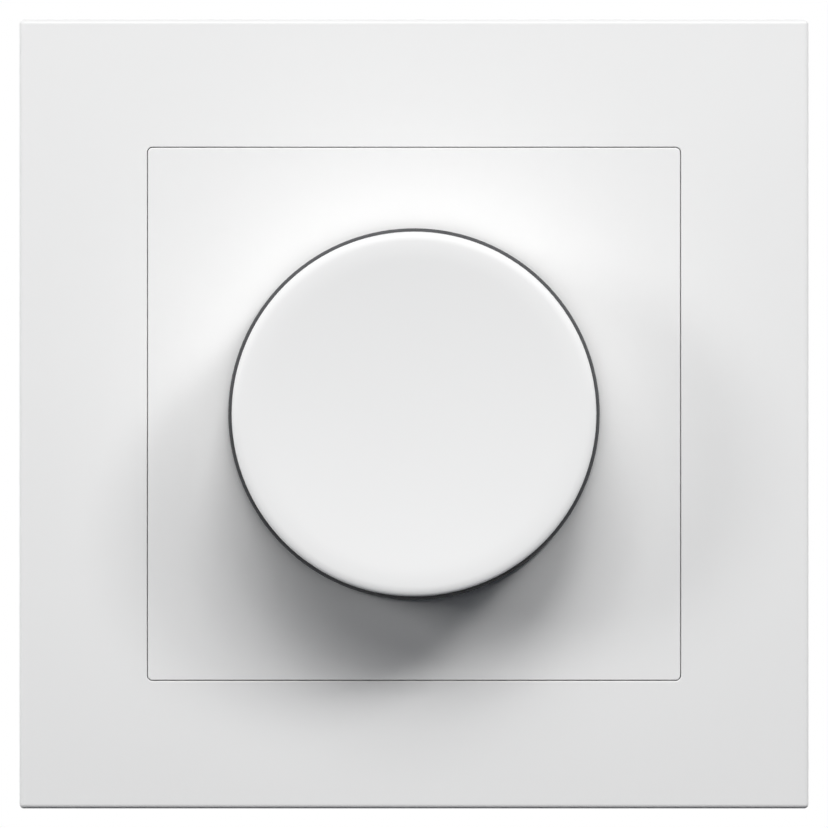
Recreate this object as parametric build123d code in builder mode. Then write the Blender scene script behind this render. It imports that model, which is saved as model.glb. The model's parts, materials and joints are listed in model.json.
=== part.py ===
from build123d import *

import os
from math import atan, cos, degrees, radians, sin

# Flush-mounted rotary dimmer for a round wall box. A square cover frame and a flat centre plate lie on the
# wall, a round knob turns to dim and pushes to switch, and a housing behind the wall plane holds the works.
# Millimetres. X to the right, Y into the wall, Z up, origin on the knob's axis in the wall plane.
# Heights are counted from the wall plane: positive towards the room, negative into the wall box.

# Cover frame
FRAME_SIDE = 81.5
FRAME_DEPTH = 9.0
FRAME_WALL = 2.0
FRAME_EDGE = 0.45  # rounding of the outer edges and corners
FRAME_SKIRT = 1.2  # wall that stands round the opening behind the front
FRAME_RIB = 1.2
FRAME_RIB_SPACING = 40.0
FRAME_RIB_LIFT = 1.8  # ribs end this far in front of the support ring
LEDGE_THICK = 1.5
NOTCH_WIDTH = 10.0  # recesses in the skirt for the heads of the box screws
NOTCH_LENGTH = 6.4
NOTCH_DEPTH = 2.5

# Centre plate
PLATE_SIDE = 55.0
PLATE_CORNER = 0.5
PLATE_WALL = 2.0
PLATE_SKIRT = 1.5
PLATE_COLLAR = 0.5  # height of the seat round the hole, behind the plate
PLATE_COLLAR_WIDTH = 3.0
PLATE_HOLE_CLEARANCE = 0.25
PLATE_GUSSET = 1.2
PLATE_GUSSET_CLEARANCE = 0.6  # between the gussets and the insert cover
PLATE_GUSSET_SPACING = 28.0
SEAM = 0.07  # slot between the plate and the frame
SEAM_EDGE = 0.12  # rounding on both sides of the slot

# Knob
KNOB_EDGE_DIAMETER = 37.3  # below the rounded shoulder
KNOB_BASE_DIAMETER = 37.6
KNOB_HEIGHT = 13.6
KNOB_SHOULDER_WIDTH = 0.95
KNOB_SHOULDER_HEIGHT = 0.45
KNOB_CREST_WIDTH = 1.95  # from the shoulder to the hollow of the face
KNOB_DISH = 0.95  # the face is hollow by this much below its crest
KNOB_WALL = 1.7
KNOB_FRONT_WALL = 1.6
KNOB_RIB = 1.2
KNOB_RIB_COUNT = 4
KNOB_RIB_HEIGHT = 4.5
HUB_RADIUS = 4.6
HUB_SLOT = 0.8
HUB_SLOT_LENGTH = 4.5
HUB_CLEARANCE = 0.3  # between hub and neck when the knob is pushed in
BASE_RING_DIAMETER = 38.34
BASE_RING_THICK = 0.5
BASE_RING_SPIGOT = 1.5
BASE_RING_SPIGOT_WALL = 0.9
BASE_RING_EDGE = 0.15
PUSH_TRAVEL = 0.7
PUSH_CLEARANCE = 0.2  # left above the plate when the knob is pushed in
CLIP_THICK = 0.6
CLIP_WIDTH = 2.0
CLIP_MOUTH = 60.0  # degrees
CLIP_SETBACK = 1.2

# Shaft, neck and nut
SHAFT_RADIUS = 2.0
SHAFT_FLAT = 1.5  # from the axis to the flat
SHAFT_END_ROOM = 0.3
RUNNING_FIT = 0.05
NECK_RADIUS = 5.0
NECK_PROUD = 0.5
NUT_RADIUS = 9.0
NUT_THICK = 2.5
NUT_NOTCH = 1.2
NUT_NOTCH_COUNT = 6
NUT_CHAMFER = 0.4

# Support ring
RING_THICK = 1.2
RING_ROOM = 3.25  # between the ring and the walls of the frame
RING_CORNER = 6.0
RING_BORE_RADIUS = 12.0
BOX_SCREW_SPACING = 60.0
BOX_HOLE_RADIUS = 2.1
SIDE_SLOT_ANGLE = 28.0
SIDE_SLOT_SWEEP = 18.0

# Housing and insert cover
TUB_WIDTH = 40.0
TUB_HEIGHT = 48.0
TUB_CORNER = 12.0
TUB_WALL = 1.5
TUB_EDGE = 1.2
TUB_RIB = 1.2
TUB_RIB_REACH = 1.6
TUB_RIB_SPACING = 20.0
TUB_TOP_RIB_SPACING = 12.0
VENT_COUNT = 5  # slots above and below, in front of the board
VENT_WIDTH = 1.4
VENT_LENGTH = 5.5
VENT_SPACING = 3.2
VENT_SETBACK = 2.0
BOSS_RADIUS = 3.0
BOSS_SINK = 0.28  # bosses merge with the corner walls by this much
COVER_SETBACK = 2.0  # the cover ends this far inside the tub's outline, above and below
COVER_CORNER = 4.0
COVER_WALL = 1.5
COVER_EDGE = 0.6
HOUSING_SCREW_RADIUS = 1.25
HOUSING_SCREW_HEAD_RADIUS = 2.2
HOUSING_SCREW_HEAD = 1.6
HOUSING_SCREW_LENGTH = 14.0
HOUSING_SCREW_SINK = 2.0
HOUSING_SCREW_SLOT = 0.6
HOUSING_SCREW_END_ROOM = 0.3
HOLE_CLEARANCE = 0.25

# Works on the circuit board
FIT_CLEARANCE = 0.3
SINK_THICK = 1.5
BOARD_THICK = 1.6
BOARD_HOLE_RADIUS = 3.0
POT_RADIUS = 9.0
POT_DEPTH = 7.5
POT_WALL = 1.0
POT_COLLAR_RADIUS = 4.0
ROTOR_CLEARANCE = 0.4
ROTOR_END_PLAY = 0.4
SWITCH_SIDE = 13.0
SWITCH_DEPTH = 9.4
SWITCH_WALL = 1.2
PLUNGER_RADIUS = 2.5
PLUNGER_STEM = 1.9  # from the switch's front wall back to the flange
PLUNGER_PROUD = 0.6
PLUNGER_FLANGE_RADIUS = 3.2
PLUNGER_FLANGE = 1.2
SPRING_WIRE = 0.5
SPRING_RADIUS = 2.2
SPRING_TURNS = 4
TRANSISTOR_WIDTH = 6.6
TRANSISTOR_LENGTH = 8.0
TRANSISTOR_THICK = 4.0
TRANSISTOR_SPACING = 7.6
LEAD_RADIUS = 0.35
LEAD_SPACING = 2.0
CHOKE_DEPTH = 5.2
CHOKE_WINDING_SHARE = 0.17  # thickness of the winding over the choke's radius
CHOKE_HOLE_SHARE = 0.23  # radius of the hole over the choke's radius
CHOKE_MOUTH = 50.0  # degrees left open between the ends of the winding
FUSE_SHARE = 0.9  # of the lane between the switch and the ribs of the tub
FUSE_DEPTH = 8.0
CAN_SHARE = 0.85  # of the same lane
CAN_DEPTH = 11.0
CAN_EDGE = 0.5
FILM_CLEARANCE = 2.3  # from the screw bosses
FILM_THICK = 5.5
FILM_DEPTH = 11.0
FILM_RIB_CLEARANCE = 1.15
SIDE_PARTS_CLEARANCE = 0.5
CHIP_WIDTH = 8.0
CHIP_LENGTH = 5.0
CHIP_THICK = 1.6

# Terminals
TERMINAL_COUNT = 3
PILLAR_SPACE = 0.8  # between neighbours
PILLAR_SIDE_CLEARANCE = 0.3
PILLAR_LENGTH = 7.0
PILLAR_LAND = 2.2  # brass between the board and the wire bore
PILLAR_WALL_CLEARANCE = 0.4
PILLAR_THREAD_LENGTH = 3.0
WIRE_SHARE = 0.3  # radius of the wire bore over the pillar's width
WIRE_ENTRY_CLEARANCE = 0.4
WIRE_FUNNEL = 0.6
TERMINAL_SCREW_SHARE = 0.25  # radius of the screw over the pillar's width
TERMINAL_SCREW_TRAVEL = 2.6
TERMINAL_SCREW_STOP = 0.5
TERMINAL_SCREW_TIP = 0.3
TERMINAL_HEAD_SHARE = 0.375  # radius of the head over the pillar's width
TERMINAL_HEAD = 2.0
TERMINAL_HEAD_RECESS = 0.5
SCREW_SLOT = 0.8
SCREW_SLOT_DEPTH = 0.9

# Claws
CLAW_THICK = 1.2
CLAW_WIDTH = 11.0
CLAW_LENGTH = 20.0
CLAW_PIVOT_DROP = 3.0  # behind the wall plane
CLAW_ARM = 4.0  # from the pivot to the screw's axis
CLAW_TAB_CLEARANCE = 1.3  # between the tab's end and the housing
CLAW_KNUCKLE = 1.1
CLAW_FOOT_RISE = 3.0
CLAW_FOOT_REACH = 1.3
CLAW_TOOTH = 1.4
CLAW_TOOTH_COUNT = 3
CLAW_TRUNNION_RADIUS = 0.7
CLAW_SIDE_PLAY = 0.3
LUG_RADIUS = 1.6
CLAW_SCREW_SHARE = 0.625  # radius of the screw over that of its head
CLAW_SCREW_TRAVEL = 1.0
CLAW_SCREW_START = 0.3  # under the head when fully driven
CLAW_SCREW_TIP_GAP = 0.2
CLAW_SCREW_TIP = 0.3  # flattening of the domed tip's radius
CLAW_HEAD = 1.6
CLAW_HEAD_ROOM = 0.6  # between the head and both the insert cover and the plate's skirt
CLAW_COLLAR_MARGIN = 0.2  # the collar is wider than the head by this much
CLAW_COLLAR = 1.2

# Places and widths worked out from the sizes
FRAME_INSIDE = FRAME_SIDE - 2 * FRAME_WALL
OPENING_SIDE = PLATE_SIDE + 2 * SEAM
SKIRT_OUTSIDE = OPENING_SIDE + 2 * FRAME_SKIRT
PLATE_INSIDE = PLATE_SIDE - 2 * PLATE_SKIRT
RING_SIDE = FRAME_INSIDE - 2 * RING_ROOM
NECK_BORE = SHAFT_RADIUS + RUNNING_FIT
BOSS_DIAGONAL = (TUB_CORNER - TUB_WALL - BOSS_RADIUS + BOSS_SINK) * cos(radians(45))
BOSS_X = TUB_WIDTH / 2 - TUB_CORNER + BOSS_DIAGONAL
BOSS_Z = TUB_HEIGHT / 2 - TUB_CORNER + BOSS_DIAGONAL
BOSSES = [(x, z) for x in (-BOSS_X, BOSS_X) for z in (-BOSS_Z, BOSS_Z)]
TUB_INSIDE_WIDTH = TUB_WIDTH - 2 * TUB_WALL
TUB_INSIDE_HEIGHT = TUB_HEIGHT - 2 * TUB_WALL
COVER_HEIGHT = TUB_HEIGHT - 2 * COVER_SETBACK
PLATE_GUSSET_REACH = (PLATE_INSIDE - COVER_HEIGHT) / 2 - PLATE_GUSSET_CLEARANCE
POT_HOLLOW_RADIUS = POT_RADIUS - POT_WALL
ROTOR_RADIUS = POT_HOLLOW_RADIUS - ROTOR_CLEARANCE

# Parts in front of the board lie midway between the potentiometer and the ends of the board
FRONT_PARTS_DISTANCE = (POT_RADIUS + TUB_INSIDE_HEIGHT / 2 - FIT_CLEARANCE) / 2

# Parts beside the switch share a lane that ends at the ribs of the tub
SIDE_PART_X = SWITCH_SIDE / 2 + SIDE_PARTS_CLEARANCE
SIDE_LANE = TUB_INSIDE_WIDTH / 2 - TUB_RIB_REACH - SIDE_PARTS_CLEARANCE - SIDE_PART_X
SIDE_PARTS_DISTANCE = (BOSS_Z - BOSS_RADIUS) / 2
CHOKE_RADIUS = SIDE_LANE / 2
CHOKE_WINDING = CHOKE_WINDING_SHARE * CHOKE_RADIUS
CHOKE_HOLE_RADIUS = CHOKE_HOLE_SHARE * CHOKE_RADIUS
FUSE_RADIUS = FUSE_SHARE * SIDE_LANE / 2
CAN_RADIUS = CAN_SHARE * SIDE_LANE / 2
FILM_WIDTH = 2 * (BOSS_X - BOSS_RADIUS - FILM_CLEARANCE)
FILM_DISTANCE = (TUB_INSIDE_HEIGHT - FILM_THICK) / 2 - TUB_RIB_REACH - FILM_RIB_CLEARANCE

# Terminals stand side by side between the lower screw bosses
TERMINAL_PITCH = 2 * (BOSS_X - BOSS_RADIUS - PILLAR_SIDE_CLEARANCE) / TERMINAL_COUNT
PILLAR_WIDTH = TERMINAL_PITCH - PILLAR_SPACE
TERMINALS = [TERMINAL_PITCH * (i - (TERMINAL_COUNT - 1) / 2) for i in range(TERMINAL_COUNT)]
PILLAR_FOOT = -TUB_INSIDE_HEIGHT / 2 + PILLAR_WALL_CLEARANCE
TERMINAL_Z = PILLAR_FOOT + PILLAR_LENGTH / 2
WIRE_RADIUS = WIRE_SHARE * PILLAR_WIDTH
TERMINAL_SCREW_RADIUS = TERMINAL_SCREW_SHARE * PILLAR_WIDTH
TERMINAL_HEAD_RADIUS = TERMINAL_HEAD_SHARE * PILLAR_WIDTH

# Claw screws stand in the middle of the lane between the housing and the plate's skirt
CLAW_LANE = (PLATE_INSIDE - TUB_WIDTH) / 2
CLAW_SCREW_X = (TUB_WIDTH + CLAW_LANE) / 2
CLAW_HEAD_RADIUS = CLAW_LANE / 2 - CLAW_HEAD_ROOM
CLAW_SCREW_RADIUS = CLAW_SCREW_SHARE * CLAW_HEAD_RADIUS
CLAW_COLLAR_RADIUS = CLAW_HEAD_RADIUS + CLAW_COLLAR_MARGIN
CLAW_PIVOT_X = CLAW_SCREW_X + CLAW_ARM

# Heights worked out from the sizes, from the front to the rear
LEDGE_TOP = RING_THICK + LEDGE_THICK
PLATE_REAR = FRAME_DEPTH - PLATE_WALL
COVER_TOP = PLATE_REAR - PLATE_COLLAR
NUT_TOP = FRAME_DEPTH + NUT_THICK
NECK_TOP = NUT_TOP + NECK_PROUD
BASE_RING_REAR = FRAME_DEPTH + PUSH_TRAVEL + PUSH_CLEARANCE
KNOB_REAR = BASE_RING_REAR + BASE_RING_THICK
KNOB_TOP = KNOB_REAR + KNOB_HEIGHT
KNOB_CEILING = KNOB_TOP - KNOB_DISH - KNOB_FRONT_WALL
HUB_REAR = NECK_TOP + PUSH_TRAVEL + HUB_CLEARANCE
SHAFT_TOP = KNOB_CEILING - SHAFT_END_ROOM
SINK_REAR = -SINK_THICK
POT_REAR = SINK_REAR - POT_DEPTH
BOARD_REAR = POT_REAR - BOARD_THICK
PLUNGER_FRONT = BOARD_REAR + PLUNGER_PROUD
SWITCH_REAR = BOARD_REAR - SWITCH_DEPTH
WIRE_HEIGHT = BOARD_REAR - PILLAR_LAND - WIRE_RADIUS
SCREW_TIP = WIRE_HEIGHT - WIRE_RADIUS
PILLAR_REAR = SCREW_TIP - PILLAR_THREAD_LENGTH
TERMINAL_HEAD_FRONT = PILLAR_REAR - TERMINAL_SCREW_TRAVEL - TERMINAL_SCREW_STOP
TUB_REAR = TERMINAL_HEAD_FRONT - TERMINAL_HEAD - TERMINAL_HEAD_RECESS
TUB_FLOOR = TUB_REAR + TUB_WALL

os.makedirs("parts", exist_ok=True)


def out(height):
    """Plane parallel to the wall, facing the room, at a height in front of it."""
    return Plane.XZ.offset(height)


def turning(x=0.0, z=0.0):
    """Plane for turned outlines: across is the radius from an axis at x and z, up is the height."""
    return Plane(origin=(x, 0, z), x_dir=(1, 0, 0), z_dir=(0, 0, -1))


def spindle(x=0.0, z=0.0):
    """Axis square to the wall at x and z."""
    return Axis((x, 0, z), (0, 1, 0))


def d_outline(radius, flat):
    """Round outline with one flat, as on the shaft and in the bores that ride on it."""
    Circle(radius)
    with Locations((0, flat + radius)):
        Rectangle(2 * radius, 2 * radius, mode=Mode.SUBTRACT)


def front_edges(part):
    """Edges of the face nearest to the room."""
    return part.faces().sort_by(Axis.Y)[0].edges()


# Cover frame: a moulded square with a skirt round its opening, a ledge for the plate and ribs behind
with BuildPart() as cover_frame:
    with BuildSketch(out(0)):
        Rectangle(FRAME_SIDE, FRAME_SIDE)
    extrude(amount=FRAME_DEPTH)
    fillet(cover_frame.edges().filter_by(Axis.Y) + front_edges(cover_frame), FRAME_EDGE)
    with BuildSketch(out(0)):
        Rectangle(FRAME_INSIDE, FRAME_INSIDE)
        Rectangle(SKIRT_OUTSIDE, SKIRT_OUTSIDE, mode=Mode.SUBTRACT)
    extrude(amount=FRAME_DEPTH - FRAME_WALL, mode=Mode.SUBTRACT)
    with BuildSketch(out(0)):
        Rectangle(SKIRT_OUTSIDE, SKIRT_OUTSIDE)
    extrude(amount=RING_THICK, mode=Mode.SUBTRACT)
    with BuildSketch(out(0)):
        Rectangle(PLATE_INSIDE, PLATE_INSIDE)
    extrude(amount=LEDGE_TOP, mode=Mode.SUBTRACT)
    with BuildSketch(out(LEDGE_TOP)):
        RectangleRounded(OPENING_SIDE, OPENING_SIDE, PLATE_CORNER + SEAM)
    extrude(amount=FRAME_DEPTH - LEDGE_TOP, mode=Mode.SUBTRACT)
    mouth = front_edges(cover_frame).filter_by(
        lambda edge: max(abs(edge.center().X), abs(edge.center().Z)) < SKIRT_OUTSIDE / 2
    )
    fillet(mouth, SEAM_EDGE)
    with BuildSketch(out(RING_THICK)):
        with PolarLocations(BOX_SCREW_SPACING / 2, 4):
            Rectangle(NOTCH_LENGTH, NOTCH_WIDTH)
    extrude(amount=NOTCH_DEPTH, mode=Mode.SUBTRACT)
    with BuildSketch(out(RING_THICK + FRAME_RIB_LIFT)):
        with PolarLocations((FRAME_INSIDE + SKIRT_OUTSIDE) / 4, 4):
            with GridLocations(0, FRAME_RIB_SPACING, 1, 2):
                Rectangle((FRAME_INSIDE - SKIRT_OUTSIDE) / 2 + FRAME_WALL / 2, FRAME_RIB)
    extrude(amount=FRAME_DEPTH - FRAME_WALL - RING_THICK - FRAME_RIB_LIFT)

cover_frame.part.label = "cover_frame"
export_step(cover_frame.part, "parts/cover_frame.step")

# Centre plate: flush with the frame, its skirt stands on the frame's ledge, its collar on the insert cover
with BuildPart() as centre_plate:
    with BuildSketch(out(LEDGE_TOP)):
        RectangleRounded(PLATE_SIDE, PLATE_SIDE, PLATE_CORNER)
    extrude(amount=FRAME_DEPTH - LEDGE_TOP)
    fillet(front_edges(centre_plate), SEAM_EDGE)
    with BuildSketch(out(LEDGE_TOP)):
        Rectangle(PLATE_INSIDE, PLATE_INSIDE)
    extrude(amount=PLATE_REAR - LEDGE_TOP, mode=Mode.SUBTRACT)
    with BuildSketch(out(COVER_TOP)):
        Circle(NECK_RADIUS + PLATE_HOLE_CLEARANCE + PLATE_COLLAR_WIDTH)
    extrude(amount=PLATE_COLLAR)
    for side in PolarLocations(PLATE_INSIDE / 2, 4):
        gusset_plane = Plane(out(0).location * side)
        for spread in (-PLATE_GUSSET_SPACING / 2, PLATE_GUSSET_SPACING / 2):
            corner = gusset_plane.from_local_coords((0, spread, PLATE_REAR))
            inward = gusset_plane.from_local_coords((-1, spread, PLATE_REAR)) - corner
            with BuildSketch(Plane(origin=corner, x_dir=inward, z_dir=inward.cross(Vector(0, 1, 0)))):
                with BuildLine():
                    Polyline((0, 0), (PLATE_GUSSET_REACH, 0), (0, PLATE_GUSSET_REACH), close=True)
                make_face()
            extrude(amount=PLATE_GUSSET / 2, both=True)
    with BuildSketch(out(COVER_TOP)):
        Circle(NECK_RADIUS + PLATE_HOLE_CLEARANCE)
    extrude(amount=FRAME_DEPTH - COVER_TOP, mode=Mode.SUBTRACT)

centre_plate.part.label = "centre_plate"
export_step(centre_plate.part, "parts/centre_plate.step")

# Plate nut: round, with spanner notches, clamps the plate on the threaded neck under the knob
with BuildPart() as plate_nut:
    with BuildSketch(out(FRAME_DEPTH)):
        Circle(NUT_RADIUS)
        Circle(NECK_RADIUS + RUNNING_FIT, mode=Mode.SUBTRACT)
        with PolarLocations(NUT_RADIUS, NUT_NOTCH_COUNT):
            Rectangle(NUT_NOTCH * 2, NUT_NOTCH * 2, mode=Mode.SUBTRACT)
    extrude(amount=NUT_THICK)
    rim = front_edges(plate_nut).filter_by(GeomType.CIRCLE)
    chamfer(rim, NUT_CHAMFER)

plate_nut.part.label = "plate_nut"
export_step(plate_nut.part, "parts/plate_nut.step")

# Knob cap: turned outline with a dished face and a soft shoulder, hollow behind, with a ribbed hub
KNOB_EDGE_RADIUS = KNOB_EDGE_DIAMETER / 2
KNOB_BASE_RADIUS = KNOB_BASE_DIAMETER / 2
KNOB_CREST_RADIUS = KNOB_EDGE_RADIUS - KNOB_SHOULDER_WIDTH
DISH_SLOPE = 2 * atan(KNOB_DISH / KNOB_CREST_RADIUS)
DISH_ROUNDING = (KNOB_CREST_RADIUS - KNOB_CREST_WIDTH) / sin(DISH_SLOPE)
CREST_ROUNDING = KNOB_CREST_WIDTH / sin(DISH_SLOPE)
KNOB_INSIDE_RADIUS = KNOB_BASE_RADIUS - KNOB_WALL
KNOB_CEILING_RADIUS = KNOB_EDGE_RADIUS - KNOB_WALL
with BuildPart() as knob_cap:
    with BuildSketch(turning()):
        with BuildLine():
            face = JernArc((0, KNOB_TOP - KNOB_DISH), (1, 0), DISH_ROUNDING, degrees(DISH_SLOPE))
            JernArc(face @ 1, face % 1, CREST_ROUNDING, -degrees(DISH_SLOPE))
            shoulder = EllipticalCenterArc(
                (KNOB_CREST_RADIUS, KNOB_TOP - KNOB_SHOULDER_HEIGHT),
                KNOB_SHOULDER_WIDTH,
                KNOB_SHOULDER_HEIGHT,
                start_angle=0,
                arc_size=90,
            )
            Polyline(
                shoulder @ 0,
                (KNOB_BASE_RADIUS, KNOB_REAR),
                (KNOB_INSIDE_RADIUS, KNOB_REAR),
                (KNOB_CEILING_RADIUS, KNOB_CEILING),
                (0, KNOB_CEILING),
                face @ 0,
            )
        make_face()
    revolve(axis=Axis.Y)
    with BuildSketch(out(HUB_REAR)):
        Circle(HUB_RADIUS)
    extrude(amount=KNOB_CEILING - HUB_REAR)
    with BuildSketch(out(KNOB_CEILING - KNOB_RIB_HEIGHT)):
        with PolarLocations((HUB_RADIUS + KNOB_CEILING_RADIUS) / 2, KNOB_RIB_COUNT, start_angle=45):
            Rectangle(KNOB_CEILING_RADIUS - HUB_RADIUS + KNOB_WALL, KNOB_RIB)
    extrude(amount=KNOB_RIB_HEIGHT)
    with BuildSketch(out(HUB_REAR)):
        d_outline(SHAFT_RADIUS + RUNNING_FIT, SHAFT_FLAT + RUNNING_FIT)
    extrude(amount=KNOB_CEILING - HUB_REAR, mode=Mode.SUBTRACT)
    with BuildSketch(out(HUB_REAR)):
        Rectangle(HUB_SLOT, 2 * HUB_RADIUS)
    extrude(amount=HUB_SLOT_LENGTH, mode=Mode.SUBTRACT)

knob_cap.part.label = "knob_cap"
export_step(knob_cap.part, "parts/knob_cap.step")

# Base ring of the knob: dark, a little wider than the cap, with a spigot inside the cap's rim
BASE_RING_RADIUS = BASE_RING_DIAMETER / 2
SPIGOT_RADIUS = KNOB_CEILING_RADIUS - RUNNING_FIT
with BuildPart() as knob_ring:
    with BuildSketch(out(BASE_RING_REAR)):
        Circle(BASE_RING_RADIUS)
        Circle(SPIGOT_RADIUS - BASE_RING_SPIGOT_WALL, mode=Mode.SUBTRACT)
    extrude(amount=BASE_RING_THICK)
    circles = knob_ring.edges().filter_by(GeomType.CIRCLE)
    fillet(circles.filter_by(lambda edge: edge.radius > SPIGOT_RADIUS), BASE_RING_EDGE)
    with BuildSketch(out(KNOB_REAR)):
        Circle(SPIGOT_RADIUS)
        Circle(SPIGOT_RADIUS - BASE_RING_SPIGOT_WALL, mode=Mode.SUBTRACT)
    extrude(amount=BASE_RING_SPIGOT)

knob_ring.part.label = "knob_ring"
export_step(knob_ring.part, "parts/knob_ring.step")

# Knob clip: open steel band that squeezes the slotted hub on the shaft
with BuildPart() as knob_clip:
    with BuildSketch(turning()):
        with Locations((HUB_RADIUS + RUNNING_FIT + CLIP_THICK / 2, HUB_REAR + CLIP_SETBACK + CLIP_WIDTH / 2)):
            Rectangle(CLIP_THICK, CLIP_WIDTH)
    revolve(axis=Axis.Y, revolution_arc=360 - CLIP_MOUTH)

knob_clip.part.label = "knob_clip"
export_step(knob_clip.part, "parts/knob_clip.step")

# Shaft: slides in the rotor and drives it by its flat, and pushes the switch's plunger
with BuildPart() as pot_shaft:
    with BuildSketch(out(PLUNGER_FRONT)):
        d_outline(SHAFT_RADIUS, SHAFT_FLAT)
    extrude(amount=SHAFT_TOP - PLUNGER_FRONT)

pot_shaft.part.label = "pot_shaft"
export_step(pot_shaft.part, "parts/pot_shaft.step")

# Insert cover: low box on the front of the support ring, with the neck that carries the nut
with BuildPart() as insert_cover:
    with BuildSketch(out(RING_THICK)):
        RectangleRounded(TUB_WIDTH, COVER_HEIGHT, COVER_CORNER)
    extrude(amount=COVER_TOP - RING_THICK)
    fillet(front_edges(insert_cover), COVER_EDGE)
    with BuildSketch(out(RING_THICK)):
        RectangleRounded(
            TUB_WIDTH - 2 * COVER_WALL, COVER_HEIGHT - 2 * COVER_WALL, COVER_CORNER - COVER_WALL
        )
    extrude(amount=COVER_TOP - COVER_WALL - RING_THICK, mode=Mode.SUBTRACT)
    with BuildSketch(out(RING_THICK)):
        with Locations(*BOSSES):
            Circle(BOSS_RADIUS)
    extrude(amount=COVER_TOP - COVER_WALL - RING_THICK)
    with BuildSketch(out(COVER_TOP)):
        Circle(NECK_RADIUS)
    extrude(amount=NECK_TOP - COVER_TOP)
    with BuildSketch(out(RING_THICK)):
        Circle(NECK_BORE)
        with Locations(*BOSSES):
            Circle(HOUSING_SCREW_RADIUS + HOLE_CLEARANCE)
    extrude(amount=NECK_TOP - RING_THICK, mode=Mode.SUBTRACT)
    with BuildSketch(out(COVER_TOP - HOUSING_SCREW_SINK)):
        with Locations(*BOSSES):
            Circle(HOUSING_SCREW_HEAD_RADIUS + HOLE_CLEARANCE)
    extrude(amount=HOUSING_SCREW_SINK, mode=Mode.SUBTRACT)

insert_cover.part.label = "insert_cover"
export_step(insert_cover.part, "parts/insert_cover.step")

# Support ring: pressed steel plate on the wall, with the holes for the box screws and lugs for the claws
LUG_OFFSET = CLAW_WIDTH / 2 + CLAW_SIDE_PLAY
with BuildPart() as support_ring:
    with BuildSketch(out(0)):
        RectangleRounded(RING_SIDE, RING_SIDE, RING_CORNER)
        Circle(RING_BORE_RADIUS, mode=Mode.SUBTRACT)
        with GridLocations(0, BOX_SCREW_SPACING, 1, 2):
            Circle(BOX_HOLE_RADIUS, mode=Mode.SUBTRACT)
        for middle in (SIDE_SLOT_ANGLE, -SIDE_SLOT_ANGLE, 180 - SIDE_SLOT_ANGLE, 180 + SIDE_SLOT_ANGLE):
            slot_line = CenterArc(
                (0, 0), BOX_SCREW_SPACING / 2, middle - SIDE_SLOT_SWEEP / 2, SIDE_SLOT_SWEEP, mode=Mode.PRIVATE
            )
            SlotArc(slot_line, 2 * BOX_HOLE_RADIUS, mode=Mode.SUBTRACT)
        with Locations(*BOSSES):
            Circle(HOUSING_SCREW_RADIUS + HOLE_CLEARANCE, mode=Mode.SUBTRACT)
    extrude(amount=RING_THICK)
    with BuildSketch(out(-CLAW_COLLAR)):
        with GridLocations(2 * CLAW_SCREW_X, 0, 2, 1):
            Circle(CLAW_COLLAR_RADIUS)
    extrude(amount=CLAW_COLLAR)
    with BuildSketch(out(-CLAW_COLLAR)):
        with GridLocations(2 * CLAW_SCREW_X, 0, 2, 1):
            Circle(CLAW_SCREW_RADIUS + RUNNING_FIT)
    extrude(amount=CLAW_COLLAR + RING_THICK, mode=Mode.SUBTRACT)
    for lug_z in (-LUG_OFFSET - RING_THICK, LUG_OFFSET):
        with BuildSketch(Plane.XY.offset(lug_z)):
            with GridLocations(2 * CLAW_PIVOT_X, 0, 2, 1):
                with Locations((0, CLAW_PIVOT_DROP)):
                    Circle(LUG_RADIUS)
                with Locations((0, CLAW_PIVOT_DROP / 2)):
                    Rectangle(2 * LUG_RADIUS, CLAW_PIVOT_DROP)
                with Locations((0, CLAW_PIVOT_DROP)):
                    Circle(CLAW_TRUNNION_RADIUS + RUNNING_FIT, mode=Mode.SUBTRACT)
        extrude(amount=RING_THICK)

support_ring.part.label = "support_ring"
export_step(support_ring.part, "parts/support_ring.step")

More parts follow.
